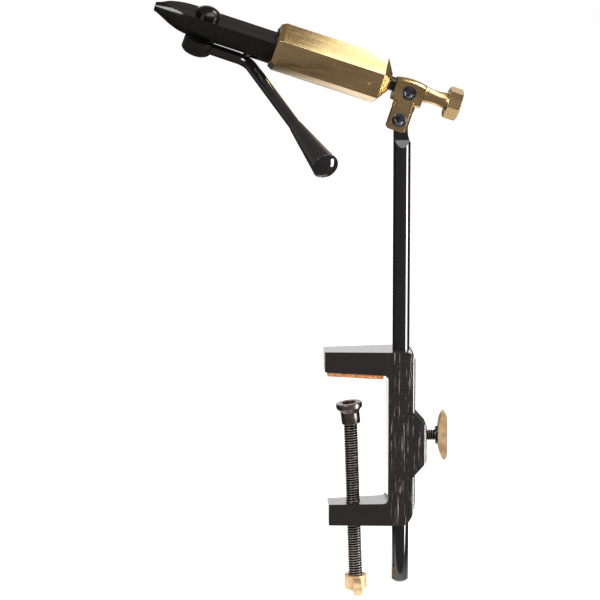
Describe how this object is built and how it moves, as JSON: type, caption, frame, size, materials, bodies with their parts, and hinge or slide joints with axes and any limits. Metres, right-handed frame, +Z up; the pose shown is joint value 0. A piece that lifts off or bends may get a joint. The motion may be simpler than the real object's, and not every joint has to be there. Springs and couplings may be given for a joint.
{
  "type": "fly tying vise",
  "caption": "Table-clamped vise for tying flies, with a tilting rotary head, a hexagonal barrel and split jaws opened by a bent cam lever.",
  "frame": {"origin": "middle of the cork pad's lower face, which bears on a table's top", "axes": "+Z up along the post, +X from the pad to the post, jaws towards -X, -Y towards the tier"},
  "size_m": [0.1688, 0.1087, 0.3327],
  "materials": {
    "black_enamel": "satin black enamel over a sand casting",
    "cork": "bare pressed cork",
    "cast_brass": "satin cast brass",
    "turned_brass": "brushed turned brass",
    "black_rod": "gloss black",
    "black_steel": "black oxide on turned steel",
    "oiled_steel": "dark oiled steel",
    "bright_steel": "ground bright",
    "nylon": "natural",
    "grip_enamel": "gloss black"
  },
  "bodies": {
    "clamp": {"clamp_frame": "black_enamel", "table_pad": "cork"},
    "cup": {"swivel_cup": "oiled_steel"},
    "screw": {"clamp_screw": "oiled_steel", "clamp_wing_knob": "cast_brass"},
    "washer": {"thumb_washer": "oiled_steel"},
    "thumb": {"thumb_screw": "oiled_steel", "thumb_wing_knob": "cast_brass"},
    "column": {"post": "black_rod"},
    "head": {"pivot_block": "turned_brass", "pivot_screw": "black_steel", "drag_screw": "black_steel", "drag_plug": "nylon"},
    "rotor": {"rotary_shaft": "black_steel", "hex_barrel": "turned_brass", "barrel_set_screw": "turned_brass", "jaw_dowel": "bright_steel", "closing_spring": "bright_steel"},
    "rear": {"rear_knob": "turned_brass"},
    "lever": {"cam_pin": "black_steel", "lever_collar": "black_steel", "lever_rod": "black_rod", "lever_grip": "grip_enamel"},
    "near_jaw": {"jaw_near": "black_steel"},
    "far_jaw": {"jaw_far": "black_steel"}
  },
  "joints": [
    {"name": "cup_slide", "type": "slide", "parent": "clamp", "child": "cup", "axis": [-0.0349, 0, 0.9994], "range_m": [-0.042, 0.014]},
    {"name": "screw_turn", "type": "hinge", "parent": "cup", "child": "screw", "pos_m": [-0.00247, 0, -0.02153], "axis": [-0.0349, 0, 0.9994], "range_deg": [-10760, 3620]},
    {"name": "washer_slide", "type": "slide", "parent": "clamp", "child": "washer", "axis": [-1, 0, 0], "range_m": [-0.0039, 0]},
    {"name": "thumb_turn", "type": "hinge", "parent": "washer", "child": "thumb", "pos_m": [0.0456, 0, -0.0348], "axis": [-1, 0, 0], "range_deg": [-1120, 10]},
    {"name": "post_height", "type": "slide", "parent": "clamp", "child": "column", "axis": [0, 0, 1], "range_m": [-0.11, 0.06]},
    {"name": "head_tilt", "type": "hinge", "parent": "column", "child": "head", "pos_m": [0.0235, 0, 0.1434], "axis": [0, 1, 0], "range_deg": [-20, 35]},
    {"name": "head_turn", "type": "hinge", "parent": "head", "child": "rotor", "pos_m": [0.02942, 0, 0.15955], "axis": [0.9466, 0, -0.3223], "continuous": true},
    {"name": "knob_turn", "type": "hinge", "parent": "rotor", "child": "rear", "pos_m": [0.04362, 0, 0.15472], "axis": [0.9466, 0, -0.3223], "range_deg": [0, 270]},
    {"name": "lever_turn", "type": "hinge", "parent": "rotor", "child": "lever", "pos_m": [-0.08143, 0, 0.19729], "axis": [-0.3098, 0.2756, -0.91], "range_deg": [0, 60], "stiffness_Nm_per_rad": 0.25, "springref_deg": -20.05},
    {"name": "near_jaw_open", "type": "hinge", "parent": "rotor", "child": "near_jaw", "pos_m": [-0.03201, 0, 0.18047], "axis": [0.3098, -0.2756, 0.91], "range_deg": [0, 1.2]},
    {"name": "far_jaw_open", "type": "hinge", "parent": "rotor", "child": "far_jaw", "pos_m": [-0.03201, 0, 0.18047], "axis": [-0.3098, 0.2756, -0.91], "range_deg": [0, 1.2]}
  ],
  "couplings": [
    {"joint": "screw_turn", "follows": "cup_slide", "rad_per_m": 4452.7},
    {"joint": "thumb_turn", "follows": "washer_slide", "rad_per_m": 4947.4},
    {"joint": "near_jaw_open", "follows": "lever_turn", "ratio": 0.02},
    {"joint": "far_jaw_open", "follows": "lever_turn", "ratio": 0.02}
  ]
}
